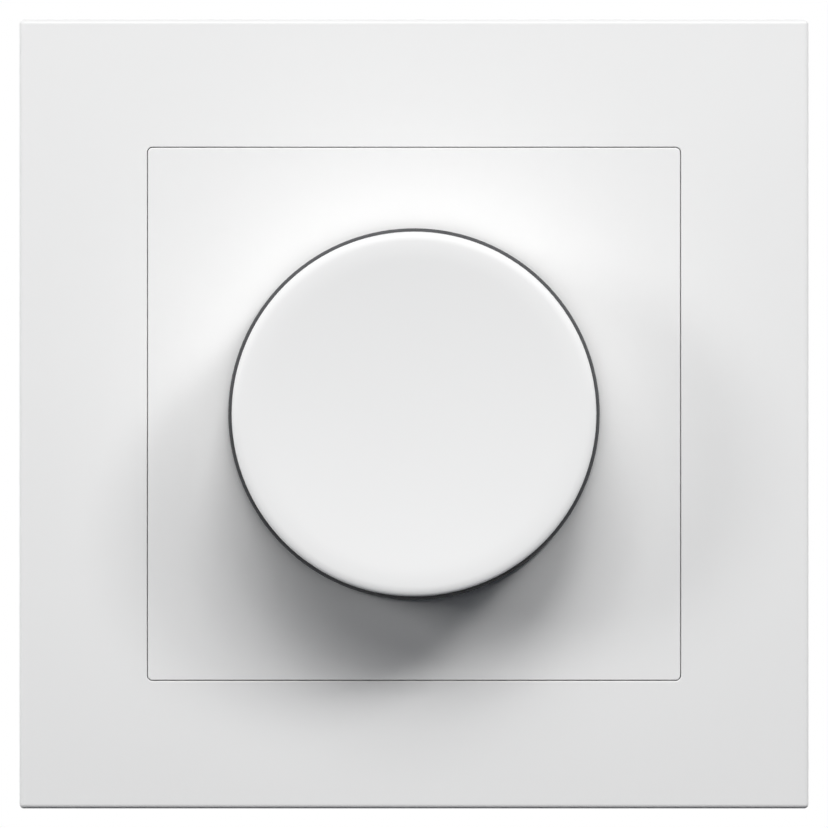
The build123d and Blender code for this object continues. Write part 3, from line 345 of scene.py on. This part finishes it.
tracks = 1 - board.threshold(square_cells("F2") - square_cells("F1"), 0.1, 0.14)
board.relief(tracks, TRACK_DEPTH)
board_tint = board.blend(tracks * 0.8, (0.012, 0.07, 0.03), (0.035, 0.17, 0.07))
finishes["board"] = board.done(board_tint, board.grain(LACQUER_BLOT) * 0.04 + 0.28)
print("tracks every", 1000 * TRACK_SPACING, "mm")

# %% Ferrite core
CRYSTAL, CRYSTAL_DEPTH = 0.0002, 0.00001
ferrite = Finish("ferrite")
crystals = ferrite.noise(CRYSTAL, detail=4.0)
ferrite.relief(crystals, CRYSTAL_DEPTH)
ferrite_tint = ferrite.blend(crystals, (0.02, 0.02, 0.021), (0.06, 0.058, 0.058))
finishes["ferrite"] = ferrite.done(ferrite_tint, 0.6)
print("crystals of", 1000 * CRYSTAL, "mm")

# %% Enamelled wire
ENAMEL_BLOT, ENAMEL_DEPTH = 0.0011, 0.00001
enamel = Finish("copper_enamel", Metallic=0.85, Coat_Weight=0.6)
lacquer = enamel.grain(ENAMEL_BLOT, detail=3.0)
enamel.relief(lacquer * 0.5 + 0.5, ENAMEL_DEPTH)
enamel_tint = enamel.blend(lacquer * 0.5 + 0.5, (0.42, 0.15, 0.06), (0.62, 0.27, 0.12))
finishes["copper_enamel"] = enamel.done(enamel_tint, lacquer * 0.05 + 0.3)
print("enamel blots of", 1000 * ENAMEL_BLOT, "mm")


# %% Dipped and sleeved skins
SKIN_WAVE = 0.0025


def glossy_skin(name, dark, light, gloss, ripple):
    """Lacquer or sleeve of a capacitor; ripple is the depth of its waves in metres."""
    skin = Finish(name, Coat_Weight=0.3)
    waves = skin.grain(SKIN_WAVE)
    skin.relief(waves * 0.5 + 0.5, ripple)
    print(name, "ripple", ripple * 1e6, "micrometres")
    return skin.done(skin.blend(waves * 0.5 + 0.5, dark, light), waves * 0.04 + gloss)


finishes["film_red"] = glossy_skin("film_red", (0.3, 0.04, 0.025), (0.42, 0.075, 0.045), 0.3, 0.00006)
finishes["can_blue"] = glossy_skin("can_blue", (0.02, 0.03, 0.085), (0.035, 0.05, 0.13), 0.26, 0.00002)

# %% [markdown]
# ## Dress the CAD nodes
#
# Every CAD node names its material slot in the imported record. Assigning the finish to the object's own slot
# leaves the mesh as it is.

# %% Give each node its finish
for subpart in frame["record"]["subparts"]:
    dressed = nodes[subpart["node"]]
    for material_slot in dressed.material_slots:
        material_slot.link = "OBJECT"
        material_slot.material = finishes[subpart["material_slot"]]

# %% [markdown]
# ## Turned pieces
#
# The knob is round, so its wall is one outline turned round the axis. We draw the outline as a row of points,
# each a radius and a height in front of the wall, extrude a point along it and let the Spin tool take it
# round. The doubles at the seam and at the pole are merged before the normals are made to point outwards.
# All measures of shapes are in millimetres here, and become metres when a mesh is made.

# %% Pick, place, weld and smooth
MM = 0.001
WELD_DISTANCE = 0.001 * MM


def pick(piece, *others):
    """Selects these pieces and nothing else; the operators work on the first."""
    bpy.ops.object.select_all(action="DESELECT")
    for chosen in (piece, *others):
        chosen.select_set(True)
    bpy.context.view_layer.objects.active = piece


def apply_place(piece):
    """Moves the object's place, turn and scale into its mesh."""
    pick(piece)
    bpy.ops.object.transform_apply(location=True, rotation=True, scale=True)


def weld(piece):
    """Merges doubles and turns the normals outwards."""
    pick(piece)
    bpy.ops.object.mode_set(mode="EDIT")
    bpy.ops.mesh.select_all(action="SELECT")
    bpy.ops.mesh.remove_doubles(threshold=WELD_DISTANCE)
    bpy.ops.mesh.normals_make_consistent(inside=False)
    bpy.ops.object.mode_set(mode="OBJECT")


def smooth(piece, degrees):
    """Smooth shading, with edges sharper than this left crisp."""
    pick(piece)
    bpy.ops.object.shade_smooth_by_angle(angle=math.radians(degrees))


def dress(piece, finish):
    """Gives a new piece one finish all over."""
    piece.data.materials.clear()
    piece.data.materials.append(finishes[finish])


# %% Draw an outline and spin it
TURNING_STEPS = 144


def drawn(name, outline):
    """A line through points of radius and height, extruded from a single vertex."""
    points = [Vector((radius, -height, 0)) * MM for radius, height in outline]
    bpy.ops.object.select_all(action="DESELECT")
    bpy.ops.mesh.primitive_plane_add(size=MM, location=points[0])
    piece = bpy.context.object
    piece.name = name
    apply_place(piece)
    bpy.ops.object.mode_set(mode="EDIT")
    bpy.ops.mesh.merge(type="CENTER")
    for here, there in zip(points, points[1:]):
        bpy.ops.mesh.extrude_region_move(TRANSFORM_OT_translate={"value": there - here})
    bpy.ops.object.mode_set(mode="OBJECT")
    return piece


def turned(name, outline):
    """Spins an outline of radius and height round the knob's axis."""
    piece = drawn(name, outline)
    bpy.ops.object.mode_set(mode="EDIT")
    bpy.ops.mesh.select_all(action="SELECT")
    bpy.ops.mesh.spin(steps=TURNING_STEPS, angle=math.tau, center=(0, 0, 0), axis=(0, 1, 0))
    bpy.ops.object.mode_set(mode="OBJECT")
    weld(piece)
    return piece


def arc(rounding, start, first, last, count):
    """Points of an arc from a start, whose slope goes from first to last; the rounding may be negative."""
    points = []
    for i in range(count + 1):
        slope = first + (last - first) * i / count
        across = rounding * (math.sin(slope) - math.sin(first))
        along = rounding * (math.cos(first) - math.cos(slope))
        points.append((start[0] + across, start[1] + along))
    return points


# %% Add and cut
def combine(piece, other, operation):
    """Adds or cuts another piece with a Boolean modifier, then removes it."""
    pick(piece)
    modifier = piece.modifiers.new(operation.lower(), "BOOLEAN")
    modifier.operation = operation
    modifier.object = other
    bpy.ops.object.modifier_apply(modifier=modifier.name)
    bpy.data.objects.remove(other)


def block(size, place, turn=0.0):
    """A box to add or cut, turned round the Y axis by degrees."""
    bpy.ops.object.select_all(action="DESELECT")
    bpy.ops.mesh.primitive_cube_add(size=1, location=Vector(place) * MM)
    piece = bpy.context.object
    piece.scale = Vector(size) * MM
    piece.rotation_euler = (0, math.radians(turn), 0)
    apply_place(piece)
    return piece


# %% [markdown]
# ## Knob
#
# The knob's face is hollow like a very flat dish. It rises to a crest near the edge, rolls over it and drops
# into the side through a narrow rounded shoulder. In the CAD model the dish is a net of long triangles, which
# shows as a stain in the middle of so even a face. So the cap is turned again here, with its arcs in many
# small steps, and with the hub and the ribs inside. Two arcs make the dish and its crest: they share one
# slope where they meet, so no edge shows there.

# %% Outline of the cap
KNOB_SHOULDER_WIDTH, KNOB_SHOULDER_HEIGHT = 0.95, 0.45
KNOB_CREST_WIDTH = 1.95
KNOB_DISH = 0.95
KNOB_EDGE_RADIUS, KNOB_BASE_RADIUS = 18.65, 18.8
KNOB_WALL = 1.7
KNOB_CEILING_HEIGHT = 21.45
DISH_STEPS, CREST_STEPS, SHOULDER_STEPS = 16, 8, 12
knob_rear, knob_front = [-corner.y / MM for corner in reversed(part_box("knob_cap"))]
crest_radius = KNOB_EDGE_RADIUS - KNOB_SHOULDER_WIDTH
slope = 2 * math.atan(KNOB_DISH / crest_radius)
dish_rounding = (crest_radius - KNOB_CREST_WIDTH) / math.sin(slope)
crest_rounding = KNOB_CREST_WIDTH / math.sin(slope)
dish = arc(dish_rounding, (0, knob_front - KNOB_DISH), 0, slope, DISH_STEPS)
crest = arc(-crest_rounding, dish[-1], slope, 0, CREST_STEPS)
shoulder = []
for i in range(1, SHOULDER_STEPS + 1):
    turn = math.radians(90 * i / SHOULDER_STEPS)
    across = crest_radius + KNOB_SHOULDER_WIDTH * math.sin(turn)
    shoulder.append((across, knob_front - KNOB_SHOULDER_HEIGHT * (1 - math.cos(turn))))
rim = [(KNOB_BASE_RADIUS, knob_rear), (KNOB_BASE_RADIUS - KNOB_WALL, knob_rear)]
ceiling = [(KNOB_EDGE_RADIUS - KNOB_WALL, KNOB_CEILING_HEIGHT), (0, KNOB_CEILING_HEIGHT)]
knob = turned("knob_dished_cap", dish + crest[1:] + shoulder + rim + ceiling)
print("face slopes by degrees:", round(math.degrees(slope), 2))

# %% Hub and ribs of the cap
HUB_RADIUS, HUB_REAR = 4.6, 13.0
HUB_SLOT, HUB_SLOT_MIDDLE = (0.8, 4.6, 9.6), HUB_REAR + 2.2
RIB, RIB_MIDDLE_RADIUS, RIB_MIDDLE_HEIGHT = (1.2, 5.0, 13.5), 11, 19.45
SHAFT_BORE, SHAFT_FLAT, BORE_END = 2.05, 1.55, 21.4
FLAT_BLOCK, FLAT_BLOCK_HEIGHT = (5, 12, 2), 17
INTO_CEILING = 0.5
hub_front = KNOB_CEILING_HEIGHT + INTO_CEILING
hub_outline = [(0, HUB_REAR), (HUB_RADIUS, HUB_REAR), (HUB_RADIUS, hub_front), (0, hub_front)]
combine(knob, turned("hub", hub_outline), "UNION")
for degrees in (45, 135, 225, 315):
    turn = math.radians(degrees)
    place = (RIB_MIDDLE_RADIUS * math.sin(turn), -RIB_MIDDLE_HEIGHT, RIB_MIDDLE_RADIUS * math.cos(turn))
    combine(knob, block(RIB, place, degrees), "UNION")
bore_rear = HUB_REAR - 1
bore = turned("bore", [(0, bore_rear), (SHAFT_BORE, bore_rear), (SHAFT_BORE, BORE_END), (0, BORE_END)])
combine(bore, block(FLAT_BLOCK, (0, -FLAT_BLOCK_HEIGHT, SHAFT_FLAT + FLAT_BLOCK[2] / 2)), "DIFFERENCE")
combine(knob, bore, "DIFFERENCE")
combine(knob, block(HUB_SLOT, (0, -HUB_SLOT_MIDDLE, 0)), "DIFFERENCE")
smooth(knob, 30)
dress(knob, "white_knob")
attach(knob, "knob")
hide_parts("knob_cap")
print("knob faces:", len(knob.data.polygons))

# %% [markdown]
# ## Claw screws
#
# The two long screws beside the housing show in every view from the side. A smooth shank gives them away, so
# each gets a real M3 thread of 0.5 mm pitch. A zigzag line with one tooth per turn, swept by the Screw
# modifier through a single turn that climbs one pitch, makes the whole thread at once. The line starts and
# ends inside the shank, so the thread runs out there.

# %% Thread
THREAD_PITCH, THREAD_RADIUS, THREAD_ROOT = 0.5, 1.5, 1.2
CREST_RADIUS, CREST_START, CREST_END = 1.47, 0.21, 0.29
RUN_OUT_RADIUS = 0.9
THREAD_STEPS = 28


def thread(name, front, rear):
    """A thread about the Y axis between two heights, climbing by a pitch in each turn."""
    turns = int((front - rear) / THREAD_PITCH) - 1
    zigzag = [(RUN_OUT_RADIUS, front)]
    for tooth in range(turns):
        start = front - THREAD_PITCH * tooth
        crest = [(CREST_RADIUS, start - CREST_START), (CREST_RADIUS, start - CREST_END)]
        zigzag += [(THREAD_ROOT, start)] + crest
    end = front - THREAD_PITCH * turns
    piece = drawn(name, zigzag + [(THREAD_ROOT, end), (RUN_OUT_RADIUS, end)])
    screw = piece.modifiers.new("screw", "SCREW")
    screw.axis = "Y"
    screw.screw_offset = THREAD_PITCH * MM
    screw.steps = screw.render_steps = THREAD_STEPS
    screw.use_merge_vertices = False
    bpy.ops.object.modifier_apply(modifier=screw.name)
    weld(piece)
    return piece


# %% Threaded claw screws
HEAD_RADIUS, HEAD_HEIGHT, HEAD_BEVEL = 2.4, 1.6, 0.25
HEAD_SLOT, HEAD_SLOT_DEPTH, HEAD_SLOT_LENGTH = 0.8, 0.9, 6
CORE_RADIUS = 1.22  # a little over the root, so that the two surfaces don't coincide
COLLAR, COLLAR_END, THREAD_START = 1.2, 1.5, 0.9  # below the head
POINT_LENGTH, POINT_RADIUS = 1.0, 0.3

for side in ("left", "right"):
    node = f"claw_screw_{side}"
    low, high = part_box(node)
    front, tip = -low.y / MM, -high.y / MM
    shank_front = front - HEAD_HEIGHT
    outline = [
        (0, front),
        (HEAD_RADIUS - HEAD_BEVEL, front),
        (HEAD_RADIUS, front - HEAD_BEVEL),
        (HEAD_RADIUS, shank_front),
        (THREAD_RADIUS, shank_front),
        (THREAD_RADIUS, shank_front - COLLAR),
        (CORE_RADIUS, shank_front - COLLAR_END),
        (CORE_RADIUS, tip + POINT_LENGTH),
        (POINT_RADIUS, tip),
        (0, tip),
    ]
    screw_piece = turned(f"threaded_screw_{side}", outline)
    slot_size = (HEAD_SLOT_LENGTH, 2 * HEAD_SLOT_DEPTH, HEAD_SLOT)
    combine(screw_piece, block(slot_size, (0, -front, 0)), "DIFFERENCE")
    pick(screw_piece, thread(f"thread_{side}", shank_front - THREAD_START, tip + POINT_LENGTH))
    bpy.ops.object.join()
    smooth(screw_piece, 40)
    screw_piece.location = ((low.x + high.x) / 2, 0, (low.z + high.z) / 2)
    apply_place(screw_piece)
    dress(screw_piece, "zinc_steel")
    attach(screw_piece, node)
    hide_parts(node)
    print(node, "from", round(front, 2), "to", round(tip, 2), "mm, faces:", len(screw_piece.data.polygons))

# %% [markdown]
# ## Return spring
#
# The switch's spring is a coil of round wire. A small circle beside the axis is swept by the same Screw
# modifier, this time through all its turns.

# %% Coil spring
WIRE_RADIUS, COIL_RADIUS, COIL_TURNS = 0.25, 2.2, 4
WIRE_SIDES, COIL_STEPS = 14, 40
coil_low, coil_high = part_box("switch_spring")
coil_length = coil_high.y - coil_low.y
coil_start = (COIL_RADIUS * MM, coil_high.y - WIRE_RADIUS * MM, 0)
bpy.ops.object.select_all(action="DESELECT")
bpy.ops.mesh.primitive_circle_add(
    vertices=WIRE_SIDES, radius=WIRE_RADIUS * MM, fill_type="NGON", location=coil_start
)
coil = bpy.context.object
coil.name = "return_coil"
apply_place(coil)
winding = coil.modifiers.new("winding", "SCREW")
winding.axis = "Y"
winding.screw_offset = -(coil_length - 2 * WIRE_RADIUS * MM) / COIL_TURNS
winding.iterations = COIL_TURNS
winding.steps = winding.render_steps = COIL_STEPS
bpy.ops.object.modifier_apply(modifier=winding.name)
weld(coil)
smooth(coil, 50)
dress(coil, "spring_steel")
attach(coil, "insert")
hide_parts("switch_spring")
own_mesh(coil)
print("coil:", COIL_TURNS, "turns,", round(coil_length / MM, 2), "mm long, faces:", len(coil.data.polygons))

# %% [markdown]
# ## Choke winding
#
# The choke is a ferrite ring wound with enamelled wire. The turns lie close together in the hole and fan out
# round the rim, which one smooth skin can't show. So one turn is bent round the core's section: a flat loop
# with bevelled corners is made a curve, given the wire's thickness and made a mesh again. Copies of it go
# round, and leave a mouth open between the first and the last.

# %% One turn of the choke
WIRE, HOLE_RADIUS, BEND, BEND_STEPS, WIRE_ROUNDING = 0.22, 1.08, 0.6, 4, 2
choke_low, choke_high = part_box("choke_winding")
choke_depth = (choke_high.y - choke_low.y) / MM
choke_radius = (choke_high.x - choke_low.x) / MM / 2
loop_middle = (choke_radius + HOLE_RADIUS) / 2
bpy.ops.object.select_all(action="DESELECT")
bpy.ops.mesh.primitive_plane_add(size=1, location=(loop_middle * MM, 0, 0))
turn_piece = bpy.context.object
turn_piece.scale = ((choke_radius - HOLE_RADIUS - 2 * WIRE) * MM, (choke_depth - 2 * WIRE) * MM, 1)
apply_place(turn_piece)
bpy.ops.object.mode_set(mode="EDIT")
bpy.ops.mesh.bevel(offset=BEND * MM, segments=BEND_STEPS, affect="VERTICES")
bpy.ops.mesh.select_all(action="SELECT")
bpy.ops.mesh.delete(type="ONLY_FACE")
bpy.ops.object.mode_set(mode="OBJECT")
bpy.ops.object.convert(target="CURVE")
turn_piece.data.bevel_depth = WIRE * MM
turn_piece.data.bevel_resolution = WIRE_ROUNDING
bpy.ops.object.convert(target="MESH")
print("choke across:", round(2 * choke_radius, 2), "mm, faces of a turn:", len(turn_piece.data.polygons))

# %% Turns round the core
CHOKE_TURNS, CHOKE_MOUTH = 25, 50
choke_middle = (choke_low + choke_high) / 2
turns = []
for i in range(CHOKE_TURNS):
    another = turn_piece.copy()
    another.data = turn_piece.data.copy()
    bpy.context.scene.collection.objects.link(another)
    another.rotation_euler = (0, math.radians((360 - CHOKE_MOUTH) * (i + 0.5) / CHOKE_TURNS), 0)
    another.location = choke_middle
    apply_place(another)
    turns.append(another)
bpy.data.objects.remove(turn_piece)
pick(*turns)
bpy.ops.object.join()
winding_piece = bpy.context.object
winding_piece.name = "choke_turns"
smooth(winding_piece, 60)
dress(winding_piece, "copper_enamel")
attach(winding_piece, "insert")
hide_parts("choke_winding")
print("choke turns:", CHOKE_TURNS, "faces:", len(winding_piece.data.polygons))

# %% [markdown]
# ## Camera
#
# The photograph looks straight along the knob's axis through a long lens: the knob's side doesn't show at
# all. The camera stands 1.5 m in front of the wall plate, and its lens is worked out from the width that the
# picture covers at the plate.

# %% Camera
PICTURE_WIDTH = 0.085516
EYE_DISTANCE = 1.5
PLATE_FRONT = -0.009
camera_data = bpy.data.cameras.new("camera")
camera_data.sensor_width = 36
camera_data.lens = camera_data.sensor_width * EYE_DISTANCE / PICTURE_WIDTH
camera = bpy.data.objects.new("camera", camera_data)
camera.location = (0, PLATE_FRONT - EYE_DISTANCE, 0)
camera.rotation_euler = (math.radians(90), 0, 0)
bpy.context.scene.collection.objects.link(camera)
bpy.context.scene.camera = camera
bpy.context.scene.view_settings.view_transform = "Standard"
print("lens in mm:", round(camera_data.lens, 1))

# %% [markdown]
# ## Lamps
#
# The knob's shadow tells where the light comes from. It is soft, falls downwards, and has weaker lobes to
# the left and to the right. So a bank of soft lamps hangs above the camera, with one lamp at the upper right
# and one at the left. Each lamp is placed by its angle from the knob's axis and its bearing round it. Its
# power follows from the light that it throws on a surface that faces it, where 1 makes white look white.
#
# Four large lamps stand about level with the plate or behind it. They light the sides and the back and hardly
# touch the front. Metal there shows the white background already, so they are kept out of reflections.

# %% Lamps
LAMP_DISTANCE = 0.85


def lamp(name, off_axis, bearing, strength, width, height):
    """Soft lamp at an angle from the axis; the bearing is 0 on the right and 90 above, in degrees."""
    tilt, turn = math.radians(off_axis), math.radians(bearing)
    away = Vector((math.sin(tilt) * math.cos(turn), -math.cos(tilt), math.sin(tilt) * math.sin(turn)))
    data = bpy.data.lights.new(name, "AREA")
    data.shape = "RECTANGLE"
    data.size, data.size_y = width, height
    data.energy = math.pi**2 * LAMP_DISTANCE**2 * strength
    made = bpy.data.objects.new(name, data)
    made.location = away * LAMP_DISTANCE
    made.rotation_euler = (-away).to_track_quat("-Z", "Y").to_euler()
    made.visible_glossy = off_axis < 90
    bpy.context.scene.collection.objects.link(made)
    print(name, "watts:", round(data.energy, 2))


SOFTBOXES = {
    "bank_front": (26, 100, 0.0798, 0.16, 0.2),
    "bank_low": (30, 80, 0.1121, 0.16, 0.15),
    "bank_low_left": (34, 120, 0.0737, 0.16, 0.2),
    "bank_middle_left": (38, 105, 0.0828, 0.16, 0.15),
    "bank_middle": (38, 82, 0.1424, 0.24, 0.15),
    "bank_middle_right": (38, 54, 0.1182, 0.2, 0.15),
    "bank_high_left": (48, 100, 0.0545, 0.16, 0.15),
    "bank_high": (48, 80, 0.0818, 0.16, 0.15),
    "bank_right": (48, 46, 0.2303, 0.18, 0.15),
    "side_left": (49, 162, 0.202, 0.2, 0.25),
    "rim_left": (97, 180, 0.42, 0.6, 0.6),
    "rim_right": (97, 0, 0.32, 0.6, 0.6),
    "back_left": (140, 150, 0.4, 0.6, 0.6),
    "back_right": (140, 60, 0.4, 0.6, 0.6),
}
for softbox, (off_axis, bearing, strength, width, height) in SOFTBOXES.items():
    lamp(softbox, off_axis, bearing, strength, width, height)

# %% [markdown]
# ## Background and fill
#
# The background is pure white, but a white world would drown the shadow in light. The Light Path node keeps
# the two apart: the camera and the reflections see white, while all else gets a faint, cool fill. The shadow
# on the plate is a little blue in the photograph, and this fill is where that comes from.

# %% World
FILL = (0.001, 0.005, 0.014)
WHITE = (1, 1, 1)
world = bpy.data.worlds.new("studio")
world.use_nodes = True
bpy.context.scene.world = world
sky = Graph(world.node_tree)
reflected = sky.math(
    "MAXIMUM",
    sky.node("LightPath", output="Is Glossy Ray"),
    sky.node("LightPath", output="Is Transmission Ray"),
)
shown = sky.math("MAXIMUM", reflected, sky.node("LightPath", output="Is Camera Ray"))
sky.join(sky.blend(shown, FILL, WHITE), sky.tree.nodes["Background"].inputs["Color"])
print("fill:", FILL)

# %% [markdown]
# ## Floor
#
# The object hangs on a wall, so nothing stands under it. A small pale floor a little way below it is out of
# the picture, and gives the other views a ground for their shadow. It is hidden from diffuse rays, so that it
# throws no light up at the part.

# %% Floor
FLOOR_DROP, FLOOR_RADIUS, FLOOR_CORNERS = 0.025, 0.16, 96
SPECKLE, SPECKLE_DEPTH = 0.0006, 0.00001
floor_height = cad_low.z - FLOOR_DROP
bpy.ops.object.select_all(action="DESELECT")
bpy.ops.mesh.primitive_circle_add(
    vertices=FLOOR_CORNERS, radius=FLOOR_RADIUS, fill_type="NGON", location=(0, 0, floor_height)
)
floor = bpy.context.object
floor.name = "floor"
pale = Finish("floor_pale")
speckle = pale.noise(SPECKLE)
pale.relief(speckle, SPECKLE_DEPTH)
floor.data.materials.append(pale.done(pale.blend(speckle, (0.78, 0.78, 0.78), (0.84, 0.84, 0.84)), 0.8))
floor.visible_diffuse = False
print("floor at", round(1000 * floor_height, 1), "mm")
